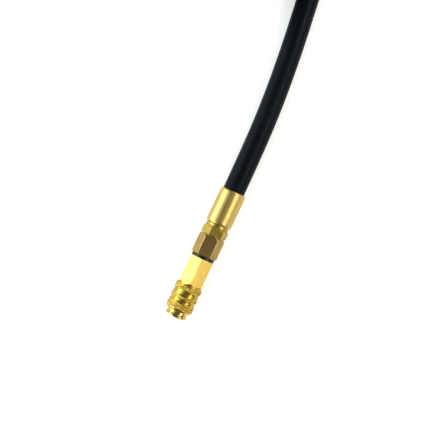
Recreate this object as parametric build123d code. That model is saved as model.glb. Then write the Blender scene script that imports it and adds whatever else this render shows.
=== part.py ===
from build123d import *
from math import cos, pi, radians, sin, tan
import os

# A rubber hose assembly with a small quick coupler on its near end and a swivel nut on both
# ends. Millimetres. The origin is the centre of the coupler's mouth, -Y points out of the
# mouth, +Y runs back along the fitting towards the hose, and +Z is up.

FLOOR_Z = -8.25

# Edges: the chamfers and small rounds that most turned pieces have, and room to move
EDGE = 0.3
FINE_EDGE = 0.2
PLAY = 0.05
SNUG_GAP = 0.03

# Hexagons
HEX_R = 14.0 / 2
CORNER_R = HEX_R / cos(radians(30))
HEX_END_R = 7.25
HEX_BLANK_R = CORNER_R + 0.2
NUT_CHAMFER = 0.9
STEM_HEX_CHAMFER = 1.0
BODY_HEX_TURN = 30.0
NUT_HEX_TURN = 0.0
STEM_HEX_TURN = 10.0

# Stations along the coupler's axis
LIP_END = 1.3
SLEEVE_FRONT = 3.9
SLEEVE_REAR = 20.1
BOSS_FRONT = 17.6
BOSS_R = 6.95
BODY_CONE = 20.8
BODY_REAR = 38.2
NUT_FRONT = 39.9
NUT_REAR = 52.8
STEM_HEX_FRONT = 53.1
STEM_HEX_REAR = 58.3
COLLAR_REAR = 60.6
FERRULE_FRONT = 60.7
FERRULE_REAR = 82.4

# Socket: the bore that a plug enters, its locking balls and its seals
SOCKET_R = 4.6
SOCKET_DEPTH = 6.0
LIP_R = 6.65
LIP_ROUND = 0.5
NECK_R = 6.1
NECK_END = 4.4
GUIDE_R = 5.9
BALL_BORE_R = 4.8
BALL_R = 1.0
BALL_COUNT = 6
BALL_Y = 8.0
BALL_FIRST_ANGLE = 30
BALL_PITCH_R = 4.9
BALL_PLAY = 0.04
BALL_HOLE_DEPTH = 4.0
BALL_HOLE_OUT = 0.6
SEAL_GROOVE = (10.4, 12.0)
SEAL_GROOVE_R = 5.35
NOSE_STOP = 13.5
THROAT_R = 3.3
SEAT_START = 15.9
CHAMBER_R = 4.4
BODY_SEAL_GROOVE = (21.5, 22.5)
BODY_SEAL_DEPTH = 0.8
FRONT_TAIL_END = 24.6

# Sleeve: when it is pulled back, its ramp lets the balls out
FLANGE_R = 8.25
FRONT_CHAMFER = 0.75
FRONT_FLANGE = (5.2, 9.0)
GROOVE_R = 7.55
GROOVE = (9.5, 11.2)
BAND_R = 8.175
BAND = (11.6, 13.3)
WAIST_R = 7.775
WAIST = (13.7, 16.6)
REAR_FLANGE_FRONT = 17.0
REAR_CHAMFER = 0.55
RAMP = radians(30)
BALL_GAP = 0.02
RECESS_R = 7.0
RECESS_END = 6.0
RELEASE_R = 6.7
LAND_END = 12.0
SPRING_ROOM_R = 7.1

# Snap ring that stops the sleeve
SNAP_Y = (5.2, 5.9)
SNAP_R = (5.55, 6.85)
SNAP_GAP = 2.0

# Valve
POPPET_NOSE_R = 2.98
POPPET_NOSE_Y = 11.6
POPPET_HEAD_R = 4.05
POPPET_HEAD_Y = (17.5, 18.6)
POPPET_TAIL_R = 1.6
POPPET_TAIL_END = 27.6
POPPET_BORE_R = 2.0
POPPET_BORE_END = 15.4
PORT_R = 0.8
PORT_Y = 14.2
WEB_Y = (26.0, 28.0)
TAIL_FIT = 0.06
FLOW_HOLES = 4
FLOW_HOLE_R = 1.0
FLOW_PITCH_R = 3.12

# Thread G1/8, drawn as a plain cylinder at its minor radius
THREAD_R = 4.283
THREAD_END = 44.5
THREAD_RELIEF = 0.6
STUB_R = THREAD_R - 0.02
STUB_END = 46.2
BODY_BORE_R = 2.6

# Stem: the swivel nose, the shank that the nut turns on, and the barbed tail in the hose
NOSE_R = 3.55
NOSE_FRONT = 44.6
SHANK_R = 5.2
SHANK_FRONT = 46.55
STEM_SEAL_GROOVE = (45.0, 45.9)
STEM_SEAL_GROOVE_R = 2.75
STEM_BORE_R = 1.9
COLLAR_R = 7.05
NECK_IN_FERRULE_R = 4.4
BARB_R = (2.75, 3.2)
BARB_START = 62.6
BARB_PITCH = 4.2
BARB_RISE = 0.6
BARB_COUNT = 4
TAIL_END = BARB_START + BARB_COUNT * BARB_PITCH + 1.0
WIRE_Y = 50.0
WIRE_R = 0.5
WIRE_PITCH_R = 5.24

# Rings and springs: pitch radius, wire or section radius, and station or turns
BODY_SEAL = (5.51, 0.4, 22.0)
PLUG_SEAL = (4.62, 0.7, 11.2)
POPPET_SEAL = (3.5, 0.5, 16.97)
STEM_SEAL = (3.17, 0.4, 45.45)
SEAL_RING_R = 7.15
SLEEVE_SPRING = (6.47, 0.38)
SLEEVE_SPRING_TURNS = 4
VALVE_SPRING = (3.2, 0.35)
VALVE_SPRING_TURNS = 5

# Ferrule and hose
FERRULE_R = 7.875
FERRULE_ROUND = 0.7
FERRULE_WALL_END = 62.2
HOSE_D = 13.4
HOSE_R = HOSE_D / 2
HOSE_BORE_R = 3.25
HOSE_START = 62.5

# Each bend's arc takes this share of the shorter of its two runs
ARC_SHARE = 0.45

# The coil that puts the rest of the hose away: two turns side by side, three layers high
COIL_CENTRE = (-80.9, 259.9)
COIL_R = 4.8 * HOSE_D
COLUMNS = 2
LAYERS = 3
TIE_T = 1.0
TIE_WIDTH = 12.5
TIE_CLEAR = 0.6

COIL_LOW = FLOOR_Z + TIE_T + TIE_CLEAR
COIL_MARGIN = 0.1
LAYER_Z = tuple(COIL_LOW + HOSE_R + layer * HOSE_D for layer in range(LAYERS))
TOP_Z = COIL_LOW + LAYERS * HOSE_D + COIL_MARGIN

# The angle round the coil of each tie, with the tail's place at its two edges: radius, height
TIES = (
    (35.0, ((66.4, 40.7), (65.4, 40.7))),
    (125.0, ((66.1, 41.25), (65.3, 41.3))),
    (215.0, ((59.0, 42.0), (58.3, 42.0))),
)

# The hose from its end in the ferrule to where it joins the coil: x, y, z
HOSE_ROUTE = (
    (0.0, HOSE_START, 0.0),
    (0.0, 100.0, 0.0),
    (-1.1, 138.0, -1.0),
    (-4.65, 176.0, -1.35),
    (-9.8, 214.0, -1.2),
    (-11.7, 236.0, -0.6),
    (-9.9, 257.4, LAYER_Z[0]),
)

# The tail, from the coil's top layer to its end in the far ferrule: the angle round the
# coil's centre in degrees, the radius and the height
FAR_Z = TOP_Z + CORNER_R + EDGE
TAIL_ROUTE = (
    (242.4, 58.8, LAYER_Z[2]),
    (274.9, 59.6, 27.6),
    (308.2, 61.6, 32.0),
    (340.4, 64.0, 38.2),
    (371.3, 66.7, 40.6),
    (401.1, 68.8, 40.7),
    (430.2, 69.8, 40.9),
    (459.2, 69.5, 41.1),
    (488.6, 67.9, 41.3),
    (518.8, 65.5, 41.6),
    (550.3, 62.8, 41.9),
    (583.1, 60.7, FAR_Z),
    (615.9, 59.6, FAR_Z),
)


def turned(*profile):
    """A solid of revolution about the Y axis, from (radius, y) points."""
    return revolve(make_face(Polyline(*profile, close=True)), axis=Axis.Y)


def tube(inner_r, outer_r, y_start, y_end):
    return turned((inner_r, y_start), (outer_r, y_start), (outer_r, y_end), (inner_r, y_end))


def across(y, x=0.0, z=0.0):
    """A plane square to the Y axis, facing +Y."""
    return Plane(origin=(x, y, z), x_dir=(1, 0, 0), z_dir=(0, 1, 0))


def bead(pitch_r, section_r, y):
    """An O-ring or a wire ring round the Y axis."""
    return across(y) * Torus(pitch_r, section_r)


def hexagon(y_start, y_end, turn):
    outline = RegularPolygon(HEX_R, 6, major_radius=False, rotation=turn)
    return across(y_start) * extrude(outline, amount=y_end - y_start)


def spring(pitch_r, wire_r, y_start, y_end, turns):
    height = y_end - y_start - 2 * wire_r
    helix = Helix(height / turns, height, pitch_r, center=(0, y_start + wire_r, 0), direction=(0, 1, 0))
    section = Plane(origin=helix @ 0, z_dir=helix % 0) * Circle(wire_r)
    return sweep(section, path=helix, is_frenet=True)


def ball_direction(index):
    angle = radians(360 / BALL_COUNT * index + BALL_FIRST_ANGLE)
    return Vector(cos(angle), 0, sin(angle))


def ball_centre(index, pitch_r):
    return ball_direction(index) * pitch_r + Vector(0, BALL_Y, 0)


def front_body():
    """The fixed front of the coupler: lip, neck, sleeve guide, ball holes and valve seat."""
    seat_end = SEAT_START + CHAMBER_R - THROAT_R
    snap_low, snap_high = SNAP_Y[0] - PLAY, SNAP_Y[1] + PLAY
    snap_groove_r = SNAP_R[0] - PLAY
    seal_low, seal_high = SEAL_GROOVE
    body_seal_low, body_seal_high = BODY_SEAL_GROOVE
    body = turned(
        (SOCKET_R, 0),
        (LIP_R - EDGE, 0),
        (LIP_R, LIP_ROUND),
        (LIP_R, LIP_END),
        (NECK_R, LIP_END + LIP_ROUND),
        (NECK_R, NECK_END),
        (GUIDE_R, NECK_END + FINE_EDGE),
        (GUIDE_R, snap_low),
        (snap_groove_r, snap_low),
        (snap_groove_r, snap_high),
        (GUIDE_R, snap_high),
        (GUIDE_R, body_seal_low),
        (GUIDE_R - BODY_SEAL_DEPTH, body_seal_low),
        (GUIDE_R - BODY_SEAL_DEPTH, body_seal_high),
        (GUIDE_R, body_seal_high),
        (GUIDE_R, FRONT_TAIL_END),
        (CHAMBER_R, FRONT_TAIL_END),
        (CHAMBER_R, seat_end),
        (THROAT_R, SEAT_START),
        (THROAT_R, NOSE_STOP),
        (CHAMBER_R, NOSE_STOP),
        (CHAMBER_R, seal_high),
        (SEAL_GROOVE_R, seal_high),
        (SEAL_GROOVE_R, seal_low),
        (BALL_BORE_R, seal_low),
        (BALL_BORE_R, SOCKET_DEPTH),
        (SOCKET_R, SOCKET_DEPTH),
    )
    drill = Cylinder(BALL_R + BALL_PLAY, BALL_HOLE_DEPTH)
    for index in range(BALL_COUNT):
        spot = ball_centre(index, BALL_PITCH_R + BALL_HOLE_OUT)
        body -= Plane(origin=spot, x_dir=(0, 1, 0), z_dir=ball_direction(index)) * drill
    return body


def snap_ring():
    ring = tube(*SNAP_R, *SNAP_Y)
    middle = (SNAP_Y[0] + SNAP_Y[1]) / 2
    return ring - Location((0, middle, -SNAP_R[1])) * Box(SNAP_GAP, SNAP_GAP, 2 * SNAP_GAP)


def sleeve():
    """The release sleeve: flanges and grooves outside, ball ramp and spring room inside."""
    ramp_r = BALL_PITCH_R + (BALL_R + BALL_GAP) / cos(RAMP)
    land_r = GUIDE_R + PLAY
    ramp_front = BALL_Y - (RELEASE_R - ramp_r) / tan(RAMP)
    ramp_rear = BALL_Y + (ramp_r - land_r) / tan(RAMP)
    return turned(
        (RECESS_R, SLEEVE_FRONT),
        (FLANGE_R - FRONT_CHAMFER, SLEEVE_FRONT),
        (FLANGE_R, FRONT_FLANGE[0]),
        (FLANGE_R, FRONT_FLANGE[1]),
        (FLANGE_R - EDGE, FRONT_FLANGE[1] + EDGE),
        (GROOVE_R, GROOVE[0]),
        (GROOVE_R, GROOVE[1]),
        (BAND_R - FINE_EDGE, BAND[0] - FINE_EDGE),
        (BAND_R, BAND[0]),
        (BAND_R, BAND[1]),
        (BAND_R - FINE_EDGE, BAND[1] + FINE_EDGE),
        (WAIST_R, WAIST[0]),
        (WAIST_R, WAIST[1]),
        (FLANGE_R - FINE_EDGE, REAR_FLANGE_FRONT - FINE_EDGE),
        (FLANGE_R, REAR_FLANGE_FRONT),
        (FLANGE_R, SLEEVE_REAR - EDGE),
        (FLANGE_R - EDGE, SLEEVE_REAR),
        (SPRING_ROOM_R + REAR_CHAMFER, SLEEVE_REAR),
        (SPRING_ROOM_R, SLEEVE_REAR - REAR_CHAMFER),
        (SPRING_ROOM_R, LAND_END),
        (land_r, LAND_END),
        (land_r, ramp_rear),
        (RELEASE_R, ramp_front),
        (RELEASE_R, RECESS_END),
        (RECESS_R, RECESS_END),
    )


def coupler_body():
    """The long hexagon, with the bore for the front body, the valve's guide web and a stub."""
    blank = turned(
        (0, BOSS_FRONT),
        (BOSS_R, BOSS_FRONT),
        (BOSS_R, BODY_CONE),
        (HEX_BLANK_R, BODY_CONE + HEX_BLANK_R - BOSS_R),
        (HEX_BLANK_R, BODY_REAR - EDGE),
        (CORNER_R - EDGE, BODY_REAR),
        (0, BODY_REAR),
    )
    body = blank & hexagon(BOSS_FRONT, BODY_REAR, BODY_HEX_TURN)
    body += tube(0, BOSS_R, BOSS_FRONT, BODY_CONE)
    body += tube(0, STUB_R, BODY_REAR, STUB_END)
    body -= tube(0, GUIDE_R + SNUG_GAP, BOSS_FRONT, FRONT_TAIL_END + 2 * PLAY)
    body -= tube(0, CHAMBER_R, FRONT_TAIL_END, WEB_Y[0])
    body -= tube(0, BODY_BORE_R, WEB_Y[1], STUB_END)
    body -= tube(0, NOSE_R + PLAY, NOSE_FRONT - EDGE, STUB_END)
    body -= tube(0, POPPET_TAIL_R + TAIL_FIT, *WEB_Y)
    middle = (WEB_Y[0] + WEB_Y[1]) / 2
    for index in range(FLOW_HOLES):
        angle = radians(360 / FLOW_HOLES * index)
        hole = Cylinder(FLOW_HOLE_R, WEB_Y[1] - WEB_Y[0])
        body -= across(middle, FLOW_PITCH_R * cos(angle), FLOW_PITCH_R * sin(angle)) * hole
    return body


def valve_poppet():
    """The valve's head, its hollow nose that the plug pushes, and its guided tail."""
    head_front, head_rear = POPPET_HEAD_Y
    poppet = turned(
        (0, POPPET_BORE_END),
        (POPPET_BORE_R, POPPET_BORE_END),
        (POPPET_BORE_R, POPPET_NOSE_Y),
        (POPPET_NOSE_R, POPPET_NOSE_Y),
        (POPPET_NOSE_R, head_front),
        (POPPET_HEAD_R, head_front),
        (POPPET_HEAD_R, head_rear - EDGE),
        (POPPET_HEAD_R - EDGE, head_rear),
        (POPPET_TAIL_R, head_rear),
        (POPPET_TAIL_R, POPPET_TAIL_END - EDGE),
        (POPPET_TAIL_R - EDGE, POPPET_TAIL_END),
        (0, POPPET_TAIL_END),
    )
    port = Cylinder(PORT_R, 2 * POPPET_NOSE_R + 1)
    for facing in ((1, 0, 0), (0, 0, 1)):
        poppet -= Plane(origin=(0, PORT_Y, 0), x_dir=(0, 1, 0), z_dir=facing) * port
    return poppet


def swivel_nut():
    outline = turned(
        (0, NUT_FRONT),
        (HEX_END_R, NUT_FRONT),
        (HEX_BLANK_R, NUT_FRONT + NUT_CHAMFER),
        (HEX_BLANK_R, NUT_REAR - NUT_CHAMFER),
        (HEX_END_R, NUT_REAR),
        (0, NUT_REAR),
    )
    nut = outline & hexagon(NUT_FRONT, NUT_REAR, NUT_HEX_TURN)
    step = SHANK_FRONT - FINE_EDGE
    nut -= tube(0, THREAD_R, NUT_FRONT, THREAD_END)
    nut -= tube(0, THREAD_R + THREAD_RELIEF, THREAD_END, step)
    nut -= tube(0, SHANK_R + PLAY, step, NUT_REAR)
    groove_r = WIRE_PITCH_R + WIRE_R + SNUG_GAP
    nut -= tube(0, groove_r, WIRE_Y - WIRE_R - PLAY, WIRE_Y + WIRE_R + PLAY)
    return nut


def hose_stem():
    """Swivel nose, shank, hexagon, collar, crimp neck and barbs, all turned in one piece."""
    barb_low, barb_high = BARB_R
    wire_low, wire_high = WIRE_Y - WIRE_R - 2 * PLAY, WIRE_Y + WIRE_R + 2 * PLAY
    groove_r = WIRE_PITCH_R - WIRE_R - PLAY
    seal_low, seal_high = STEM_SEAL_GROOVE
    profile = [
        (STEM_BORE_R, NOSE_FRONT),
        (NOSE_R - FINE_EDGE, NOSE_FRONT),
        (NOSE_R, NOSE_FRONT + FINE_EDGE),
        (NOSE_R, seal_low),
        (STEM_SEAL_GROOVE_R, seal_low),
        (STEM_SEAL_GROOVE_R, seal_high),
        (NOSE_R, seal_high),
        (NOSE_R, SHANK_FRONT),
        (SHANK_R, SHANK_FRONT),
        (SHANK_R, wire_low),
        (groove_r, wire_low),
        (groove_r, wire_high),
        (SHANK_R, wire_high),
        (SHANK_R, STEM_HEX_FRONT + STEM_HEX_CHAMFER),
        (COLLAR_R - EDGE, STEM_HEX_FRONT + STEM_HEX_CHAMFER),
        (COLLAR_R - EDGE, STEM_HEX_REAR),
        (COLLAR_R, STEM_HEX_REAR + EDGE),
        (COLLAR_R, COLLAR_REAR - EDGE),
        (COLLAR_R - EDGE, COLLAR_REAR),
        (NECK_IN_FERRULE_R, COLLAR_REAR),
        (NECK_IN_FERRULE_R, FERRULE_WALL_END + 2 * PLAY),
        (barb_low, BARB_START),
    ]
    for index in range(BARB_COUNT):
        start = BARB_START + index * BARB_PITCH
        profile.append((barb_high, start + BARB_RISE))
        profile.append((barb_low, start + BARB_PITCH))
    profile.append((barb_low, TAIL_END))
    profile.append((STEM_BORE_R, TAIL_END))
    blank = turned(
        (NECK_IN_FERRULE_R, STEM_HEX_FRONT),
        (HEX_END_R, STEM_HEX_FRONT),
        (HEX_BLANK_R, STEM_HEX_FRONT + STEM_HEX_CHAMFER),
        (HEX_BLANK_R, STEM_HEX_REAR - STEM_HEX_CHAMFER),
        (HEX_END_R, STEM_HEX_REAR),
        (NECK_IN_FERRULE_R, STEM_HEX_REAR),
    )
    return turned(*profile) + (blank & hexagon(STEM_HEX_FRONT, STEM_HEX_REAR, STEM_HEX_TURN))


def crimp_ferrule():
    """A shell crimped on the hose, its front wall locked in the stem's neck."""
    return turned(
        (NECK_IN_FERRULE_R + SNUG_GAP, FERRULE_FRONT),
        (FERRULE_R - FERRULE_ROUND, FERRULE_FRONT),
        (FERRULE_R - FINE_EDGE, FERRULE_FRONT + EDGE),
        (FERRULE_R, FERRULE_FRONT + FERRULE_ROUND),
        (FERRULE_R, FERRULE_REAR - FERRULE_ROUND),
        (FERRULE_R - FINE_EDGE, FERRULE_REAR - EDGE),
        (FERRULE_R - FERRULE_ROUND, FERRULE_REAR),
        (HOSE_R, FERRULE_REAR),
        (HOSE_R, FERRULE_WALL_END),
        (NECK_IN_FERRULE_R + SNUG_GAP, FERRULE_WALL_END),
    )


def coil_point(angle, radius, height):
    turn = radians(angle)
    return Vector(COIL_CENTRE[0] + radius * cos(turn), COIL_CENTRE[1] + radius * sin(turn), height)


def arc_radii(points):
    """One radius for each corner, from its shorter run and its turn."""
    radii = []
    for before, corner, after in zip(points, points[1:], points[2:]):
        turn = radians((corner - before).get_angle(after - corner))
        shorter = min((corner - before).length, (after - corner).length)
        radii.append(ARC_SHARE * shorter / tan(turn / 2))
    return radii


def hose_tube(name, points):
    """A hollow tube along straight runs joined by tangent arcs."""
    radii = arc_radii(points)
    path = FilletPolyline(*points, radius=radii)
    start = Plane(origin=points[0], z_dir=points[1] - points[0])
    section = start * (Circle(HOSE_R) - Circle(HOSE_BORE_R))
    solid = sweep(section, path=path)
    area = pi * (HOSE_R**2 - HOSE_BORE_R**2)
    print(name, "length", round(path.length, 1), "radii", [round(radius) for radius in radii])
    print(name, "volume over section x length", round(solid.volume / (area * path.length), 5))
    return solid


def bundle_outline(grow, circles):
    """The outline round the coil's turns, as a stretched string would lie."""
    rings = [Location((x, y)) * Circle(HOSE_R + grow) for x, y in circles]
    return make_hull([edge for ring in rings for edge in ring.edges()])


def bundle_circles():
    reach = (COLUMNS - 1) / 2 * HOSE_D
    return [(COIL_R + side * reach, height) for side in (-1, 1) for height in LAYER_Z]


def coil_section(angle):
    """The upright plane through the coil's axis at this angle: x is radius, y is height."""
    turn = radians(angle)
    outwards = (cos(turn), sin(turn), 0)
    sideways = (sin(turn), -cos(turn), 0)
    return Plane(origin=(*COIL_CENTRE, 0), x_dir=outwards, z_dir=sideways)


def hose_coil():
    section = coil_section(0.0) * bundle_outline(COIL_MARGIN, bundle_circles())
    return revolve(section, axis=Axis((*COIL_CENTRE, 0), (0, 0, 1)))


def coil_ties():
    """Straps round the coil's turns, which also hold the tail down on them."""
    straps = []
    for angle, tail_spots in TIES:
        circles = bundle_circles() + list(tail_spots)
        inside = bundle_outline(TIE_CLEAR, circles)
        band = bundle_outline(TIE_CLEAR + TIE_T, circles) - inside
        straps.append(extrude(coil_section(angle) * band, amount=TIE_WIDTH / 2, both=True))
    return Compound(children=straps)


def far_end(tail_points):
    """Where the near fitting's frame lands at the far end of the hose."""
    before, end = tail_points[-2:]
    towards_hose = (before - end).normalized()
    sideways = towards_hose.cross(Vector(0, 0, 1))
    return Plane(origin=end, x_dir=sideways, z_dir=(0, 0, 1)).location * Location((0, -HOSE_START, 0))


def main():
    os.makedirs("parts", exist_ok=True)
    hose_points = [Vector(*spot) for spot in HOSE_ROUTE]
    tail_points = [coil_point(*spot) for spot in TAIL_ROUTE]
    far = far_end(tail_points)
    stem = hose_stem()
    ferrule = crimp_ferrule()
    nut = swivel_nut()
    wire = bead(WIRE_PITCH_R, WIRE_R, WIRE_Y)
    stem_seal = bead(*STEM_SEAL)
    sleeve_spring_y = (LAND_END + PLAY, BOSS_FRONT - PLAY)
    valve_spring_y = (POPPET_HEAD_Y[1] + PLAY, WEB_Y[0] - PLAY)
    nodes = {
        "front_body": front_body(),
        "snap_ring": snap_ring(),
        "sleeve": sleeve(),
        "sleeve_spring": spring(*SLEEVE_SPRING, *sleeve_spring_y, SLEEVE_SPRING_TURNS),
        "coupler_body": coupler_body(),
        "body_o_ring": bead(*BODY_SEAL),
        "plug_seal": bead(*PLUG_SEAL),
        "valve_poppet": valve_poppet(),
        "poppet_o_ring": bead(*POPPET_SEAL),
        "valve_spring": spring(*VALVE_SPRING, *valve_spring_y, VALVE_SPRING_TURNS),
        "seal_ring": tube(STUB_R + PLAY, SEAL_RING_R, BODY_REAR, NUT_FRONT),
        "swivel_nut": nut,
        "nut_wire": wire,
        "hose_stem": stem,
        "stem_o_ring": stem_seal,
        "crimp_ferrule": ferrule,
        "hose": hose_tube("hose", hose_points),
        "hose_coil": hose_coil(),
        "hose_tail": hose_tube("hose_tail", tail_points),
        "coil_ties": coil_ties(),
        "far_ferrule": far * ferrule,
        "far_stem": far * stem,
        "far_o_ring": far * stem_seal,
        "far_nut": far * nut,
        "far_nut_wire": far * wire,
    }
    for index in range(BALL_COUNT):
        ball = Pos(ball_centre(index, BALL_PITCH_R)) * Sphere(BALL_R)
        nodes[f"locking_ball_{index + 1}"] = ball
    for name, solid in nodes.items():
        export_step(solid, f"parts/{name}.step")


main()
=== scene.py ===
from math import ceil, cos, degrees, hypot, pi, radians, sin, sqrt, tan

import bmesh
import bpy
from mathutils import Matrix, Vector


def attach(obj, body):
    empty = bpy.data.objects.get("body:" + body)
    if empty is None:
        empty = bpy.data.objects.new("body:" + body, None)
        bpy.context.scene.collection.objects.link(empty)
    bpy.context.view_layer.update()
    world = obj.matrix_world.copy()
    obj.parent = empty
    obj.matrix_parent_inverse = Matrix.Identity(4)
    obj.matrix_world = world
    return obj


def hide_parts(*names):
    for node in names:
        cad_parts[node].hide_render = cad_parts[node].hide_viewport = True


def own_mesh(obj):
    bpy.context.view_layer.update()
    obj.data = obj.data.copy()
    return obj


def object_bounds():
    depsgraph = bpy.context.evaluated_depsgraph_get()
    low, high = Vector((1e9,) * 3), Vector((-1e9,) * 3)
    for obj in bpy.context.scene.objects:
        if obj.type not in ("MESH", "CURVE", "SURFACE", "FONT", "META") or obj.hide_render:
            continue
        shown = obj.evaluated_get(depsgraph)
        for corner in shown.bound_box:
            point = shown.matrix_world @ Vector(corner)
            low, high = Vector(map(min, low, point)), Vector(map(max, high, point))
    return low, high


# A brass quick coupler, swivel nut and crimped hose end on a black rubber hose, with the
# rest of the hose wound and strapped behind it. Lengths are in millimetres up to the point
# where a mesh is made, because the fitting's sizes are, and MM turns them into metres.

MM = 0.001
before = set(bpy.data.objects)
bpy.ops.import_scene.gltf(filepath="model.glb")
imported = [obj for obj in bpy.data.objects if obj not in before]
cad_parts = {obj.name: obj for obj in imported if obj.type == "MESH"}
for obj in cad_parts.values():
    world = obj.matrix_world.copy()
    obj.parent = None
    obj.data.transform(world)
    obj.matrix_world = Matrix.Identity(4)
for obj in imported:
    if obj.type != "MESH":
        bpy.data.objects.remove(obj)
cad_low, cad_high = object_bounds()
FLOOR_Z = cad_low.z

# Sizes that the pieces share. HEX_R is from a hexagon's middle to its sides.
HEX_R = 7.0
SIXTH = radians(60)
HOSE_R = 6.7
HOSE_D = 2 * HOSE_R
FERRULE_R = 7.875
FLANGE_R = 8.25


# ---------------------------------------------------------------- camera, light and floor

# The view is straight down on the fitting, turned so that the hose leaves at the top right.
VIEW_CENTRE = Vector((-4.2, 65.0, 0.0)) * MM
VIEW_TURN = radians(25.13)
VIEW_HEIGHT = 0.421
LENS = 58.6


def add_camera():
    data = bpy.data.cameras.new("camera")
    data.lens = LENS
    data.sensor_width = 36.0
    data.clip_start = 0.01
    data.clip_end = 20.0
    camera = bpy.data.objects.new("camera", data)
    camera.location = VIEW_CENTRE + Vector((0, 0, VIEW_HEIGHT))
    camera.rotation_euler = (0, 0, VIEW_TURN)
    bpy.context.scene.collection.objects.link(camera)
    bpy.context.scene.camera = camera


# Soft panels beside the fitting, at one distance from it: the angles from straight up that
# each covers, negative on the view's left, its radiance and its colour
PANEL_DISTANCE = 1.0
PANEL_LENGTH = 1.5
PANELS = {
    "left_soft": (-88, -26, 0.5, (0.88, 0.96, 1.0)),
    "left_key": (-84, -48, 2.2, (0.84, 0.95, 1.0)),
    "right_soft": (30, 76, 0.58, (1.0, 0.95, 0.86)),
    "right_key": (35, 50, 2.2, (1.0, 0.97, 0.90)),
}
# A wide panel overhead that lights the floor and the rubber, and isn't mirrored in the brass
FILL_SIZE = 2.0
FILL_HEIGHT = 1.3
FILL_RADIANCE = 0.65
WORLD_COLOUR = (1.0, 0.93, 0.70, 1)
WORLD_RADIANCE = 0.12

FLOOR_REACH = 2.5
FLOOR_COLOUR = (0.92, 0.92, 0.92, 1)
# What the camera sees of the floor is brighter than what the brass reflects of it
FLOOR_GLOW = 0.48


def add_panel(name, start, end, width, length, distance, radiance, colour):
    """A flat soft light that faces the fitting, from start to end in degrees from straight up."""
    data = bpy.data.lights.new(name, "AREA")
    data.shape = "RECTANGLE"
    data.size = width
    data.size_y = length
    data.energy = radiance * pi * width * length
    data.color = colour
    light = bpy.data.objects.new(name, data)
    tilt = radians((start + end) / 2)
    across = Vector((cos(VIEW_TURN), sin(VIEW_TURN), 0))
    along = Vector((-sin(VIEW_TURN), cos(VIEW_TURN), 0))
    facing = across * sin(tilt) + Vector((0, 0, 1)) * cos(tilt)
    turn = Matrix((along.cross(facing), along, facing)).transposed().to_4x4()
    light.matrix_world = Matrix.Translation(VIEW_CENTRE + facing * distance) @ turn
    bpy.context.scene.collection.objects.link(light)
    return light


def add_light():
    for name, (start, end, radiance, colour) in PANELS.items():
        width = 2 * PANEL_DISTANCE * tan(radians(end - start) / 2)
        add_panel(name, start, end, width, PANEL_LENGTH, PANEL_DISTANCE, radiance, colour)
    white = (1.0, 1.0, 1.0)
    fill = add_panel("overhead_fill", 0, 0, FILL_SIZE, FILL_SIZE, FILL_HEIGHT, FILL_RADIANCE, white)
    fill.visible_glossy = False
    world = bpy.data.worlds.new("studio")
    world.use_nodes = True
    background = world.node_tree.nodes["Background"]
    background.inputs["Color"].default_value = WORLD_COLOUR
    background.inputs["Strength"].default_value = WORLD_RADIANCE
    bpy.context.scene.world = world
    bpy.context.scene.view_settings.view_transform = "Standard"


def add_floor():
    mesh = bpy.data.meshes.new("floor")
    corners = [(x, y, FLOOR_Z) for x, y in ((-1, -1), (1, -1), (1, 1), (-1, 1))]
    corners = [(x * FLOOR_REACH, y * FLOOR_REACH, z) for x, y, z in corners]
    mesh.from_pydata(corners, [], [(0, 1, 2, 3)])
    floor = bpy.data.objects.new("floor", mesh)
    bpy.context.scene.collection.objects.link(floor)
    n = Nodes("floor")
    seen = n.add("LightPath").outputs["Is Camera Ray"]
    glow = n.math("MULTIPLY", seen, FLOOR_GLOW)
    n.set(Base_Color=FLOOR_COLOUR, Roughness=0.8, Specular_IOR_Level=0.2)
    n.set(Emission_Color=(1, 1, 1, 1), Emission_Strength=glow)
    mesh.materials.append(n.material)


# ---------------------------------------------------------------- materials


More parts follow.
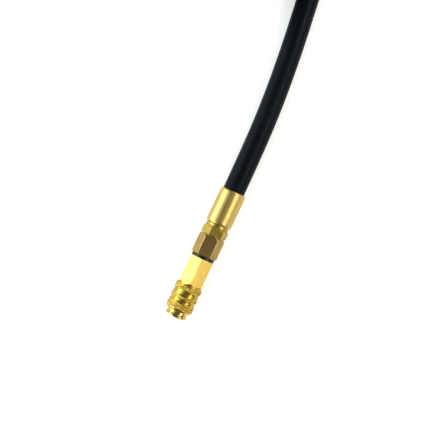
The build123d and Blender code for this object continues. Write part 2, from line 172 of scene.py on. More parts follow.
class Nodes:
    """A material's node tree, with one short call for each kind of node."""

    def __init__(self, name):
        self.material = bpy.data.materials.new(name)
        self.material.use_nodes = True
        self.tree = self.material.node_tree
        self.shader = self.tree.nodes["Principled BSDF"]

    def add(self, kind, inputs=(), **settings):
        node = self.tree.nodes.new("ShaderNode" + kind)
        for key, value in settings.items():
            setattr(node, key, value)
        for key, value in dict(inputs).items():
            self.put(node.inputs[key], value)
        return node

    def put(self, socket, value):
        if isinstance(value, bpy.types.NodeSocket):
            self.tree.links.new(value, socket)
        else:
            socket.default_value = value

    def set(self, **values):
        for key, value in values.items():
            self.put(self.shader.inputs[key.replace("_", " ")], value)

    def math(self, operation, a, b=0.0, c=0.0):
        return self.add("Math", {0: a, 1: b, 2: c}, operation=operation).outputs[0]

    def remap(self, value, low, high, to_low, to_high, smooth=False):
        kind = "SMOOTHSTEP" if smooth else "LINEAR"
        inputs = {"Value": value, "From Min": low, "From Max": high, "To Min": to_low, "To Max": to_high}
        return self.add("MapRange", inputs, interpolation_type=kind).outputs["Result"]

    def mix(self, factor, a, b):
        node = self.add("Mix", data_type="RGBA")
        self.put(node.inputs[0], factor)
        self.put(node.inputs[6], a)
        self.put(node.inputs[7], b)
        return node.outputs[2]

    def noise(self, place, scale, detail=3.0, rough=0.5):
        inputs = {"Vector": place, "Scale": scale, "Detail": detail, "Roughness": rough}
        return self.add("TexNoise", inputs).outputs["Fac"]

    def wave(self, place, scale, distortion, direction):
        inputs = {"Vector": place, "Scale": scale, "Distortion": distortion, "Detail": 1.0}
        return self.add("TexWave", inputs, bands_direction=direction).outputs["Fac"]

    def place(self):
        return self.add("TexCoord").outputs["Object"]

    def stretched(self, place, x, y, z):
        return self.add("Mapping", {"Vector": place, "Scale": (x, y, z)}).outputs["Vector"]

    def attribute(self, name):
        return self.add("Attribute", attribute_name=name).outputs["Fac"]

    def bump(self, height, distance, strength=1.0, under=None):
        """distance is in metres, and under is a bump that this one lies on."""
        inputs = {"Height": height, "Distance": distance, "Strength": strength}
        if under is not None:
            inputs["Normal"] = under
        return self.add("Bump", inputs).outputs["Normal"]


def brass(name, colour, deep, rough, rings=0.3, drawn=0.0, blotch=0.5, grain=0.3):
    """Brass with a tarnish that varies, tool marks round or along it, and bright edges.

    colour is the clean metal and deep its tarnish; rough is the middle of its roughness;
    rings are turning marks round the axis and drawn are marks along it, both 0 to 1."""
    n = Nodes(name)
    place = n.place()
    edge = n.attribute("edge")
    high = n.remap(edge, 0.1, 1.0, 0.0, 1.0)
    low = n.remap(edge, -0.1, -1.0, 0.0, 1.0)
    cloud = n.noise(place, 210, 4.0, 0.6)
    speck = n.noise(place, 2600, 2.0, 0.6)
    spread = n.math("ADD", cloud, n.math("MULTIPLY", speck, 0.35))
    tarnish = n.remap(spread, 0.5, 0.95, 0.0, blotch, True)
    tarnish = n.math("MINIMUM", n.math("ADD", tarnish, n.math("MULTIPLY", low, 0.55)), 1.0)
    base = n.mix(tarnish, (*colour, 1), (*deep, 1))
    bright = tuple(min(1.0, c * 1.12 + 0.03) for c in colour)
    base = n.mix(n.math("MULTIPLY", high, 0.6), base, (*bright, 1))
    around = n.noise(n.stretched(place, 60, 9000, 60), 1.0, 3.0, 0.65)
    along = n.noise(n.stretched(place, 5200, 160, 5200), 1.0, 3.0, 0.65)
    roughness = n.math("ADD", rough, n.math("MULTIPLY", n.math("SUBTRACT", cloud, 0.5), 0.22))
    roughness = n.math("ADD", roughness, n.math("MULTIPLY", tarnish, 0.10))
    roughness = n.math("SUBTRACT", roughness, n.math("MULTIPLY", high, 0.06))
    normal = n.bump(around, 0.000012, rings)
    normal = n.bump(along, 0.000014, drawn, normal)
    normal = n.bump(speck, 0.000012, grain, normal)
    n.set(Base_Color=base, Roughness=roughness, Normal=normal, Metallic=1.0)
    return n.material


# Black rubber's sheen is a little cold
RUBBER_TINT = (0.72, 0.90, 1.0, 1)


def rubber(name, colour, dust, rough, weave=0.5, gloss=0.5):
    """Black rubber with a fine wrapped-cloth skin, a little dust and a soft sheen."""
    n = Nodes(name)
    place = n.place()
    cloud = n.noise(place, 75, 4.0, 0.6)
    fine = n.noise(place, 2300, 2.0, 0.7)
    pores = n.add("TexVoronoi", {"Vector": place, "Scale": 1500.0}).outputs["Distance"]
    base = n.mix(n.remap(cloud, 0.42, 0.75, 0.0, 1.0, True), (*colour, 1), (*dust, 1))
    spread = n.math("ADD", cloud, n.math("MULTIPLY", fine, 0.5))
    roughness = n.remap(spread, 0.4, 1.1, rough - 0.09, rough + 0.1)
    normal = n.bump(pores, 0.00004, weave)
    normal = n.bump(fine, 0.00003, weave, normal)
    n.set(Base_Color=base, Roughness=roughness, Normal=normal)
    n.set(Specular_IOR_Level=gloss, Specular_Tint=RUBBER_TINT)
    return n.material


def steel(name, colour, rough, marks):
    """Bright steel with fine drawing marks along it, as strong as marks says."""
    n = Nodes(name)
    place = n.place()
    cloud = n.noise(place, 420, 3.0, 0.6)
    fine = n.noise(n.stretched(place, 4000, 1500, 4000), 1.0, 2.0, 0.6)
    dark = tuple(c * 0.72 for c in colour)
    base = n.mix(n.remap(cloud, 0.4, 0.75, 0.0, 0.7, True), (*colour, 1), (*dark, 1))
    n.set(Base_Color=base, Roughness=n.remap(cloud, 0.3, 0.8, rough - 0.05, rough + 0.1))
    n.set(Normal=n.bump(fine, 0.00001, marks), Metallic=1.0)
    return n.material


def webbing(name, colour, light):
    """Hook-and-loop strap: a looped pile on the face, plain weave ribs, fuzzy edges."""
    n = Nodes(name)
    flat = n.add("UVMap", uv_map="along").outputs["UV"]
    ribs = n.wave(flat, 330.0, 1.2, "X")
    picks = n.wave(flat, 260.0, 1.5, "Y")
    pile = n.noise(n.place(), 3600, 3.0, 0.75)
    weave = n.math("MULTIPLY", ribs, picks)
    height = n.math("ADD", n.math("MULTIPLY", weave, 0.6), n.math("MULTIPLY", pile, 0.7))
    base = n.mix(n.remap(height, 0.2, 0.85, 0.0, 1.0, True), (*colour, 1), (*light, 1))
    n.set(Base_Color=base, Roughness=n.remap(pile, 0.3, 0.8, 0.75, 0.95))
    n.set(Normal=n.bump(height, 0.00025, 0.9), Sheen_Weight=0.25)
    return n.material


MATERIALS = {
    "ferrule_brass": brass(
        "ferrule_brass", (0.93, 0.69, 0.23), (0.66, 0.44, 0.12), 0.34, rings=0.2, drawn=0.3, blotch=0.4
    ),
    "stem_brass": brass("stem_brass", (0.78, 0.58, 0.13), (0.50, 0.34, 0.06), 0.28, rings=0.2, drawn=0.3),
    "nut_brass": brass("nut_brass", (0.66, 0.45, 0.16), (0.42, 0.26, 0.07), 0.34, drawn=0.5, blotch=0.6),
    "body_brass": brass("body_brass", (0.95, 0.69, 0.17), (0.74, 0.48, 0.08), 0.30, drawn=0.6, blotch=0.45),
    "front_brass": brass("front_brass", (0.92, 0.68, 0.20), (0.62, 0.42, 0.09), 0.16, blotch=0.3),
    "sleeve_brass": brass("sleeve_brass", (0.88, 0.62, 0.12), (0.56, 0.36, 0.04), 0.19, blotch=0.4),
    "spring_steel": steel("spring_steel", (0.55, 0.55, 0.56), 0.3, 0.4),
    "ball_steel": steel("ball_steel", (0.80, 0.80, 0.81), 0.08, 0.1),
    "seal_rubber": rubber(
        "seal_rubber", (0.010, 0.010, 0.012), (0.018, 0.018, 0.02), 0.2, weave=0.08, gloss=0.6
    ),
    "hose_rubber": rubber(
        "hose_rubber", (0.0016, 0.0028, 0.0052), (0.0032, 0.0048, 0.0080), 0.42, weave=0.3, gloss=0.17
    ),
    "strap_fabric": webbing("strap_fabric", (0.010, 0.010, 0.011), (0.045, 0.045, 0.048)),
}


def dress(piece, slot, body):
    """Gives a piece its material, which is named after the slot, and the body that it rides on."""
    piece.data.materials.clear()
    piece.data.materials.append(MATERIALS[slot])
    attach(piece, body)


# ---------------------------------------------------------------- turned pieces
#
# A turned piece is a closed outline in (radius, y), walked along the outside towards +Y and
# back through the bore. Each point of it becomes a ring round the Y axis. A point is
# (radius, y, edge, relief): edge is 1 on a rounded outer corner and -1 in an inner one, and
# relief, if there is one, is a function of (angle, radius, y) that gives the real radius.


# The largest share of a neighbouring edge that a rounded corner takes up, how far beyond it a
# guard ring lies as a share of the corner's reach, and how bright the rounding's two ends are
CORNER_REACH = 0.4
GUARD_REACH = 0.3
EDGE_START = 0.6


def rounded(points, edge_r, closed=False, steps=4, guards=True):
    """The outline's points with each corner rounded, and a guard ring on either side of it."""
    count = len(points)
    out = []
    for i, (r, y) in enumerate(points):
        if not closed and i in (0, count - 1):
            out.append((r, y, 0.0, None))
            continue
        before = Vector((points[i - 1][0] - r, points[i - 1][1] - y))
        after = Vector((points[(i + 1) % count][0] - r, points[(i + 1) % count][1] - y))
        reach = min(edge_r, CORNER_REACH * before.length, CORNER_REACH * after.length)
        turning = before.y * after.x - before.x * after.y
        value = 0.0 if abs(turning) < 1e-9 else (1.0 if turning > 0 else -1.0)
        corner = Vector((r, y))
        start = corner + before.normalized() * reach
        end = corner + after.normalized() * reach
        guard = reach * GUARD_REACH
        lead = start + before.normalized() * guard
        tail = end + after.normalized() * guard
        if guards:
            out.append((lead.x, lead.y, 0.0, None))
        for k in range(steps + 1):
            t = k / steps
            spot = start * (1 - t) ** 2 + corner * 2 * t * (1 - t) + end * t**2
            share = EDGE_START if k in (0, steps) else 1.0
            out.append((spot.x, spot.y, value * share, None))
        if guards:
            out.append((tail.x, tail.y, 0.0, None))
    return out


def groove_points(groove, wall_r):
    """A square groove in a wall, walked towards +Y."""
    floor_r, start, end = groove
    return [(wall_r, start), (floor_r, start), (floor_r, end), (wall_r, end)]


def turned_mesh(name, outline, angles):
    """A closed skin of quads: one ring of vertices for each point of the outline."""
    spots = []
    edges = []
    for r, y, edge, relief in outline:
        for angle in angles:
            radius, value = (r, edge) if relief is None else relief(angle, r, y)
            spots.append((radius * cos(angle) * MM, y * MM, radius * sin(angle) * MM))
            edges.append(value)
    rings, around = len(outline), len(angles)
    faces = []
    for i in range(rings):
        for j in range(around):
            a, b = i * around + j, i * around + (j + 1) % around
            c, d = (i + 1) % rings * around + (j + 1) % around, (i + 1) % rings * around + j
            faces.append((a, b, c, d))
    mesh = bpy.data.meshes.new(name)
    mesh.from_pydata(spots, [], faces)
    mesh.attributes.new("edge", "FLOAT", "POINT").data.foreach_set("value", edges)
    face_outwards(mesh)
    finish_mesh(mesh)
    return mesh


def face_outwards(mesh):
    shell = bmesh.new()
    shell.from_mesh(mesh)
    bmesh.ops.recalc_face_normals(shell, faces=shell.faces)
    shell.to_mesh(mesh)
    shell.free()


def finish_mesh(mesh, angle=38):
    """Smooth shading, with edges sharper than the angle in degrees kept sharp."""
    mesh.shade_smooth()
    mesh.set_sharp_from_angle(angle=radians(angle))


def place_piece(name, mesh, matrix=None):
    piece = bpy.data.objects.new(name, mesh)
    if matrix is not None:
        piece.matrix_world = matrix
    bpy.context.scene.collection.objects.link(piece)
    return piece


def even_angles(count):
    return [2 * pi * i / count for i in range(count)]


def smooth_min(a, b, blend):
    """The smaller of two values, rounded over where they are within blend of each other."""
    share = max(blend - abs(a - b), 0.0) / blend
    return min(a, b) - share * share * blend / 4


def smooth_step(value, low, high):
    """0 up to low and 1 from high, with a smooth run between them."""
    t = min(max((value - low) / (high - low), 0.0), 1.0)
    return t * t * (3 - 2 * t)


def from_flat(angle, first_corner):
    """The angle from the middle of the hexagon's nearest side."""
    return (angle - first_corner) % SIXTH - SIXTH / 2


def hexagon_radius(angle, first_corner, corner_r):
    """The radius of a hexagon HEX_R from its sides, whose corners are rounded to corner_r."""
    off = abs(from_flat(angle, first_corner))
    if HEX_R * tan(off) <= (HEX_R - corner_r) * tan(SIXTH / 2):
        return HEX_R / cos(off)
    centre = (HEX_R - corner_r) / cos(SIXTH / 2)
    aside = SIXTH / 2 - off
    return centre * cos(aside) + sqrt(max(corner_r**2 - (centre * sin(aside)) ** 2, 0.0))


def hexagon_angles(first_corner, side_steps=40, corner_steps=10, corner_share=0.055):
    """Angles for a hexagon's rings, closer together round its corners."""
    angles = []
    for side in range(6):
        corner = first_corner + side * SIXTH
        tight = SIXTH * corner_share
        for k in range(corner_steps):
            angles.append(corner - tight + 2 * tight * k / corner_steps)
        for k in range(side_steps):
            angles.append(corner + tight + (SIXTH - 2 * tight) * k / side_steps)
    return angles


# A hexagon's corners are worn bright over these angles from a side's middle, in degrees, and
# so is a strip this wide where its sides meet the turned chamfer, which BLEND rounds over
WORN_CORNER = (27.6, 29.4)
WORN_RIM = 0.16
RIM_WEAR = 0.8
BLEND = 0.12


def hexagon_relief(first_corner, corner_r, inset):
    """Cuts the turned blank down to a hexagon. inset draws the surface in at a rounded end."""

    def relief(angle, r, y):
        side = hexagon_radius(angle, first_corner, corner_r)
        off = degrees(abs(from_flat(angle, first_corner)))
        corner = smooth_step(off, *WORN_CORNER) * smooth_step(r, side - 0.1, side + 0.2)
        rim = max(0.0, 1 - abs(r - side) / WORN_RIM) * RIM_WEAR
        value = max(corner, rim, 1.0 if inset > 0.01 else 0.0)
        return smooth_min(r, side, BLEND) - inset, value

    return relief


ROUND_STEPS = 4
# Where the blank is this far clear of the corners, its rings lie this many steps apart
CORNER_CLEAR = 0.15
WIDE_STEP = 12


def hexagon_side(y_start, y_end, blank, first_corner, corner_r=0.22, round_r=0.14, step=0.07):
    """The outside of a hexagon on a turned blank, with its two ends rounded.

    blank is a function of y that gives the blank's radius. Rings lie a step apart where the
    blank cuts the corners off, and far apart where it doesn't."""
    stations = []
    for k in range(ROUND_STEPS + 1):
        rise = round_r * (1 - cos(radians(90) * k / ROUND_STEPS))
        stations += [y_start + rise, y_end - rise]
    clear = HEX_R / cos(SIXTH / 2) + CORNER_CLEAR
    y = y_start + round_r
    while y < y_end - round_r - step:
        y += step if blank(y) < clear else WIDE_STEP * step
        stations.append(min(y, y_end - round_r))
    points = []
    for y in sorted(set(round(y, 5) for y in stations)):
        near = min(y - y_start, y_end - y)
        inset = round_r - sqrt(max(round_r**2 - max(round_r - near, 0.0) ** 2, 0.0))
        points.append((blank(y), y, 0.0, hexagon_relief(first_corner, corner_r, inset)))
    return points


# The radius that a short hexagon's bar is turned from, and its radius at the chamfers' ends
BAR_R = 8.28
BAR_END_R = 7.25


def chamfered_blank(y_start, y_end, run):
    """A turned bar whose two ends are chamfered over a run."""

    def blank(y):
        near = min(y - y_start, y_end - y)
        return min(BAR_R, BAR_END_R + (BAR_R - BAR_END_R) * near / run)

    return blank


# ---------------------------------------------------------------- ferrule

FERRULE = (60.7, 82.4)
FERRULE_SIDE = (61.8, 81.2)
FERRULE_SIDE_STEPS = 40
FERRULE_BORE_R = 4.43
# The ferrule's hole for the hose, a little wider than the hose, and where it starts
FERRULE_HOLE_R = HOSE_R + 0.03
FERRULE_FLOOR = 62.2
FERRULE_EDGE_R = 0.14

# The ridges' number, height and half width, and the valleys beside them: depth, half width and
# distance from the ridge. The surface rises by CRIMP_SWELL at a ridge and sinks by as much
# halfway between two. All fade over CRIMP_FADE.
CRIMPS = 8
RIDGE_HEIGHT = 0.05
RIDGE_HALF = 0.34
VALLEY_DEPTH = 0.02
VALLEY_HALF = 0.28
VALLEY_ASIDE = 0.62
CRIMP_SWELL = 0.0175
CRIMP_FADE = 1.1


def crimp_relief(angle, r, y):
    """Low ridges that the crimping dies leave where they meet, fading at the ferrule's ends."""
    off = (angle - pi / 2 + pi / CRIMPS) % (2 * pi / CRIMPS) - pi / CRIMPS
    across = off * FERRULE_R
    start, end = FERRULE_SIDE[0] + 0.1, FERRULE_SIDE[1] + 0.5
    held = smooth_step(y, start, start + CRIMP_FADE) * (1 - smooth_step(y, end - CRIMP_FADE, end))
    ridge = RIDGE_HEIGHT * max(0.0, 1 - (across / RIDGE_HALF) ** 2)
    valley = VALLEY_DEPTH * max(0.0, 1 - ((abs(across) - VALLEY_ASIDE) / VALLEY_HALF) ** 2)
    swell = CRIMP_SWELL * cos(off * CRIMPS)
    return r + held * (ridge - valley + swell), held * max(0.0, 1 - (across / 0.3) ** 2) * 0.8


def ferrule_outline():
    front, rear = FERRULE
    side_start, side_end = FERRULE_SIDE
    mouth = [
        (FERRULE_BORE_R, front + 0.2),
        (FERRULE_BORE_R, front),
        (FERRULE_R - 0.7, front),
        (FERRULE_R - 0.2, front + 0.25),
        (FERRULE_R, front + 0.8),
        (FERRULE_R, side_start),
    ]
    side = []
    for k in range(1, FERRULE_SIDE_STEPS):
        y = side_start + (side_end - side_start) * k / FERRULE_SIDE_STEPS
        side.append((FERRULE_R, y, 0.0, crimp_relief))
    skirt = [
        (FERRULE_R, side_end),
        (FERRULE_R, side_end + 0.3),
        (FERRULE_R - 0.2, rear - 0.3),
        (FERRULE_R - 0.6, rear),
        (HOSE_R + 0.25, rear),
        (FERRULE_HOLE_R, rear - 0.25),
        (FERRULE_HOLE_R, FERRULE_FLOOR),
        (FERRULE_BORE_R, FERRULE_FLOOR),
        (FERRULE_BORE_R, front + 0.3),
    ]
    return rounded(mouth, FERRULE_EDGE_R) + side + rounded(skirt, FERRULE_EDGE_R)


# ---------------------------------------------------------------- stem

STEM_CORNER = radians(-10)
STEM_HEX = (53.1, 58.3)
STEM_NOSE = 44.6
STEM_BORE_R = 1.9
STEM_NOSE_R = 3.55
STEM_SHANK_R = 5.2
STEM_TAIL_R = 2.75
STEM_TAIL = 80.4
COLLAR_R = 7.05
COLLAR_END = 60.6
STEM_RING_GROOVE = (2.75, 45.0, 45.9)
WIRE_Y = (49.4, 50.6)
BARBS = 4
BARB_START = 62.6
BARB_PITCH = 4.2


def stem_outline():
    """The nose with its O-ring's groove, the shank with the nut wire's, the hexagon, the collar
    and the barbs that hold the hose."""
    front, rear = STEM_HEX
    start = rounded(
        [
            (STEM_BORE_R, 46.0),
            (STEM_BORE_R, STEM_NOSE),
            (STEM_NOSE_R - 0.2, STEM_NOSE),
            (STEM_NOSE_R, STEM_NOSE + 0.2),
            *groove_points(STEM_RING_GROOVE, STEM_NOSE_R),
            (STEM_NOSE_R, 46.55),
            (STEM_SHANK_R, 46.55),
            *groove_points((4.68, *WIRE_Y), STEM_SHANK_R),
            (STEM_SHANK_R, front),
            (6.6, front),
        ],
        0.07,
    )
    side = hexagon_side(front, rear, chamfered_blank(front, rear, 1.0), STEM_CORNER)
    collar = [
        (6.8, rear),
        (6.75, rear),
        (6.75, rear + 0.12),
        (COLLAR_R, rear + 0.4),
        (COLLAR_R, COLLAR_END - 0.35),
        (COLLAR_R - 0.35, COLLAR_END),
        (4.4, COLLAR_END),
        (4.4, 62.3),
    ]
    barbs = []
    for k in range(BARBS):
        y = BARB_START + BARB_PITCH * k
        barbs += [(STEM_TAIL_R, y), (STEM_TAIL_R + 0.45, y + 0.6)]
    tail = [
        (STEM_TAIL_R, BARB_START + BARB_PITCH * BARBS),
        (STEM_TAIL_R, STEM_TAIL),
        (STEM_BORE_R, STEM_TAIL),
        (STEM_BORE_R, 46.2),
    ]
    return start + side + rounded(collar + barbs + tail, 0.12)


# ---------------------------------------------------------------- swivel nut

NUT = (39.9, 52.8)
NUT_CORNER = 0.0
NUT_BORE_R = 5.25
THREAD_PITCH = 0.907
THREAD_DEPTH = 0.5
THREAD_R = 4.283
THREAD_END = 44.5
# The run of rings that the thread is cut on, and how close together they are
THREAD_RUN = (NUT[0] + 0.35, THREAD_END - 0.05)
THREAD_STEP = 0.075


def thread_relief(angle, r, y):
    """The female thread: r is its crest, and it is cut outwards from there."""
    turn = (y / THREAD_PITCH - angle / (2 * pi)) % 1.0
    groove = min(1.0, max(0.0, (0.5 - abs(turn - 0.5)) * 2.6 - 0.25))
    lead_in = smooth_step(y, NUT[0] + 0.2, NUT[0] + 0.9)
    run_out = 1 - smooth_step(y, THREAD_END - 0.5, THREAD_END)
    return r + THREAD_DEPTH * groove * (lead_in * run_out), 0.6 - 1.2 * groove


def nut_outline():
    front, rear = NUT
    side = hexagon_side(front, rear, chamfered_blank(front, rear, 0.9), NUT_CORNER, corner_r=0.55)
    bore = [
        (6.7, rear),
        (NUT_BORE_R + 0.3, rear),
        (NUT_BORE_R, rear - 0.3),
        (NUT_BORE_R, 50.55),
        (5.77, 50.55),
        (5.77, 49.45),
        (NUT_BORE_R, 49.45),
        (NUT_BORE_R, 46.35),
        (THREAD_R + 0.6, 46.35),
        (THREAD_R + 0.6, THREAD_END),
        (THREAD_R + 0.1, THREAD_END),
    ]
    low, high = THREAD_RUN
    steps = int((high - low) / THREAD_STEP)
    thread = []
    for k in range(steps + 1):
        thread.append((THREAD_R, high - (high - low) * k / steps, 0.0, thread_relief))
    mouth = [(THREAD_R + 0.02, low - 0.02), (THREAD_R + 0.5, front), (6.6, front)]
    return side + rounded(bore, 0.08) + thread + rounded(mouth, 0.08)


# ---------------------------------------------------------------- coupler body

BODY_CORNER = radians(30)
BOSS_R = 6.95
BODY_FRONT = 17.6
BODY_CONE = 20.8
BODY_REAR = 38.2
BODY_BAR_R = 8.283
# The chamfer at the hexagon's rear: how much it takes off the bar's radius, over what length
BODY_CHAMFER = (0.5, 0.35)
BODY_BORE_R = 5.93
STUB_R = 4.263
STUB_END = 46.2
STUB_BORE_R = 2.6
VALVE_BORE_R = 4.4


def body_blank(y):
    """The boss, the cone that rises from it and cuts the corners off, and the rear chamfer."""
    depth, run = BODY_CHAMFER
    rear = BODY_BAR_R - depth + (BODY_REAR - y) * depth / run
    return min(BOSS_R + max(y - BODY_CONE, 0.0), rear, BODY_BAR_R)


def body_outline():
    """The boss, the long hexagon, the stub that screws into the nut, and the bore."""
    boss = [
        (BODY_BORE_R, BODY_FRONT + 0.3),
        (BODY_BORE_R, BODY_FRONT),
        (BOSS_R, BODY_FRONT),
        (BOSS_R, BODY_CONE - 0.3),
    ]
    side = hexagon_side(BODY_FRONT, BODY_REAR, body_blank, BODY_CORNER, step=0.06)
    side = [point for point in side if point[1] > BODY_CONE - 0.2]
    rear = [
        (6.9, BODY_REAR),
        (STUB_R, BODY_REAR),
        (STUB_R, STUB_END - 0.3),
        (3.95, STUB_END),
        (3.6, STUB_END),
        (3.6, 44.3),
        (STUB_BORE_R, 44.3),
        (STUB_BORE_R, 28.0),
        (1.66, 28.0),
        (1.66, 26.0),
        (VALVE_BORE_R, 26.0),
        (VALVE_BORE_R, 24.7),
        (BODY_BORE_R, 24.7),
        (BODY_BORE_R, BODY_FRONT + 0.5),
    ]
    return rounded(boss, 0.12) + side + rounded(rear, 0.1)


# ---------------------------------------------------------------- seal ring, front body and sleeve


SEAL_R = 7.15
SEAL_BORE_R = 4.313


def seal_ring_outline():
    """The ring fills the gap between the coupler body and the nut, just clear of both."""
    front, rear = BODY_REAR + 0.02, NUT[0] - 0.02
    points = [(SEAL_R, front), (SEAL_R, rear), (SEAL_BORE_R, rear), (SEAL_BORE_R, front)]
    return rounded(points, 0.35, closed=True, steps=6)


# The front body's radii outside and inside, and its grooves: floor radius, start and end
LIP_R = 6.65
NECK_R = 6.1
BARREL_R = 5.9
FRONT_END = 24.6
SNAP_GROOVE = (5.5, 5.15, 5.95)
BODY_RING_GROOVE = (5.1, 21.5, 22.5)
PLUG_BORE = (4.6, 6.0)
PLUG_NOSE_R = 4.8
PLUG_SEAL_GROOVE = (5.35, 10.4, 12.0)
SEAT_R = 3.3


def front_outline():
    """The mouth's lip, the neck and the barrel, and back through the bore past the valve's seat
    and the plug seal's groove."""
    bore_r, bore_end = PLUG_BORE
    seal_r, seal_start, seal_end = PLUG_SEAL_GROOVE
    outside = [
        (bore_r, 0),
        (LIP_R - 0.3, 0),
        (LIP_R, 0.5),
        (LIP_R, 1.3),
        (NECK_R, 1.8),
        (NECK_R, 4.4),
        (BARREL_R, 4.6),
        *groove_points(SNAP_GROOVE, BARREL_R),
        *groove_points(BODY_RING_GROOVE, BARREL_R),
        (BARREL_R, FRONT_END),
    ]
    inside = [
        (VALVE_BORE_R, FRONT_END),
        (VALVE_BORE_R, 17.0),
        (SEAT_R, 15.9),
        (SEAT_R, 13.5),
        (VALVE_BORE_R, 13.5),
        (VALVE_BORE_R, seal_end),
        (seal_r, seal_end),
        (seal_r, seal_start),
        (PLUG_NOSE_R, seal_start),
        (PLUG_NOSE_R, bore_end),
        (bore_r, bore_end),
    ]
    return rounded(outside + inside, 0.14, closed=True)


KNURLS = 90
KNURL_DEPTH = 0.13
KNURL_STEPS = 6
KNURL_FADE = 0.25


def knurl_relief(y_start, y_end):
    """A diamond knurl that dies away at the flange's two rims."""

    def relief(angle, r, y):
        spin = angle / (2 * pi) * KNURLS
        climb = y / (2 * pi * FLANGE_R / KNURLS)
        a = abs((spin + climb) % 1.0 - 0.5) * 2
        b = abs((spin - climb) % 1.0 - 0.5) * 2
        groove = max(smooth_step(a, 0.45, 1.0), smooth_step(b, 0.45, 1.0))
        held = smooth_step(y, y_start, y_start + KNURL_FADE)
        held *= 1 - smooth_step(y, y_end - KNURL_FADE, y_end)
        return r - KNURL_DEPTH * groove * held, 0.35 - 1.1 * groove * held

    return relief


def knurled(y_start, y_end, r, step=0.1):
    """A knurled stretch of the sleeve's outside."""
    relief = knurl_relief(y_start, y_end)
    count = ceil((y_end - y_start) / step)
    return [(r, y_start + (y_end - y_start) * k / count, 0.0, relief) for k in range(count + 1)]


# The sleeve's radii at the rib, the groove in front of it and the waist behind it, and inside
# at the snap ring, over the spring and on the front body
RIB_R = 8.175
GROOVE_R = 7.55
WAIST_R = 7.775
SLEEVE_MOUTH_R = 7.0
SPRING_ROOM_R = 7.1
SLEEVE_BORE_R = 5.95
# The locking balls rise along a ramp from the bore to this radius
RAMP_R = 6.7
RAMP = (6.89, 8.189)
FRONT_KNURL = (5.4, 8.8)
RIB_KNURL = (11.72, 13.18)
REAR_KNURL = (17.12, 19.68)


def sleeve_outline():
    """The knurled front flange, groove, rib, waist and rear flange, and the inside."""
    front = [
        (SLEEVE_MOUTH_R, 4.5),
        (SLEEVE_MOUTH_R, 3.9),
        (7.5, 3.9),
        (FLANGE_R, 5.2),
        (FLANGE_R, 5.35),
    ]
    groove = [
        (FLANGE_R, 8.85),
        (FLANGE_R, 9.0),
        (7.95, 9.3),
        (GROOVE_R, 9.5),
        (GROOVE_R, 11.2),
        (8.0, 11.4),
        (RIB_R, 11.6),
        (RIB_R, 11.7),
    ]
    waist = [
        (RIB_R, 13.2),
        (RIB_R, 13.3),
        (8.0, 13.5),
        (WAIST_R, 13.7),
        (WAIST_R, 16.6),
        (8.05, 16.8),
        (FLANGE_R, 17.0),
        (FLANGE_R, 17.1),
    ]
    inside = [
        (FLANGE_R, 19.7),
        (FLANGE_R, 19.8),
        (8.0, 20.1),
        (7.65, 20.1),
        (SPRING_ROOM_R, 19.55),
        (SPRING_ROOM_R, 12.0),
        (SLEEVE_BORE_R, 12.0),
        (SLEEVE_BORE_R, RAMP[1]),
        (RAMP_R, RAMP[0]),
        (RAMP_R, 6.0),
        (SLEEVE_MOUTH_R, 6.0),
        (SLEEVE_MOUTH_R, 4.7),
    ]
    front, groove, waist, inside = (
        rounded(points, 0.12, steps=2, guards=False) for points in (front, groove, waist, inside)
    )
    outline = front + knurled(*FRONT_KNURL, FLANGE_R) + groove + knurled(*RIB_KNURL, RIB_R)
    return outline + waist + knurled(*REAR_KNURL, FLANGE_R) + inside


# ---------------------------------------------------------------- the fitting's pieces

BALLS = 6
BALL_Y = 8.0
# The drilled holes that the balls sit in: radius, length and where their middles are
BALL_HOLE_R = 1.04
BALL_HOLE_LENGTH = 2.4
BALL_HOLE_MIDDLE_R = 5.5


def drill_ball_holes(piece):
    """Cuts the holes that the locking balls sit in through the front body's wall."""
    cutter = bmesh.new()
    for index in range(BALLS):
        angle = 2 * pi * index / BALLS + pi / 6
        outward = Vector((cos(angle), 0, sin(angle)))
        spin = outward.to_track_quat("Z", "Y").to_matrix().to_4x4()
        middle = Matrix.Translation((outward * BALL_HOLE_MIDDLE_R + Vector((0, BALL_Y, 0))) * MM)
        bmesh.ops.create_cone(
            cutter,
            cap_ends=True,
            segments=48,
            radius1=BALL_HOLE_R * MM,
            radius2=BALL_HOLE_R * MM,
            depth=BALL_HOLE_LENGTH * MM,
            matrix=middle @ spin,
        )
    mesh = bpy.data.meshes.new("ball_holes")
    cutter.to_mesh(mesh)
    cutter.free()
    tool = place_piece("ball_holes", mesh)
    cut = piece.modifiers.new("ball_holes", "BOOLEAN")
    cut.object = tool
    cut.solver = "EXACT"
    result = bpy.data.meshes.new_from_object(piece.evaluated_get(bpy.context.evaluated_depsgraph_get()))
    piece.modifiers.clear()
    piece.data = result
    bpy.data.objects.remove(tool)
    finish_mesh(result, 30)


def far_matrix():
    """Puts a near-end piece at the hose's far end, in line with the route's last run."""
    before, end = (Vector(coil_spot(*spot)) for spot in TAIL_ROUTE[-2:])
    towards_hose = (before - end).normalized()
    up = Vector((0, 0, 1))
    turn = Matrix((towards_hose.cross(up), towards_hose, up)).transposed().to_4x4()
    return Matrix.Translation(end * MM) @ turn @ Matrix.Translation((0, -HOSE_START * MM, 0))


